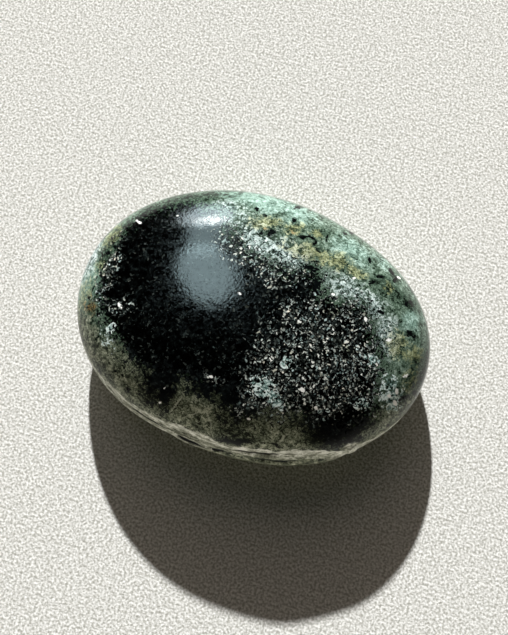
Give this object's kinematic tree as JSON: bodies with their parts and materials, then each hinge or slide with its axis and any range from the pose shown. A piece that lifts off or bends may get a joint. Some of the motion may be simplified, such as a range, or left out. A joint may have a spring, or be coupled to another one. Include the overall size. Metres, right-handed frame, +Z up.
{
  "type": "kyanite palm stone",
  "caption": "Oval, hand-polished palm stone of mottled green and black rock, domed above, shallower below, lying on a small worn flat.",
  "frame": {"origin": "on the surface that the stone rests on, under the middle of its length and width", "axes": "+Z up, square to the resting flat; +X along the stone's length; +Y across it. In the picture -Y faces the camera's lower edge and +X is the right end"},
  "size_m": [0.065, 0.0484, 0.0192],
  "materials": {
    "polished_kyanite": "polished, mottled sea green, olive and black with pale flecks and ochre stains"
  },
  "bodies": {
    "root": {"palm_stone": "polished_kyanite"}
  },
  "joints": []
}
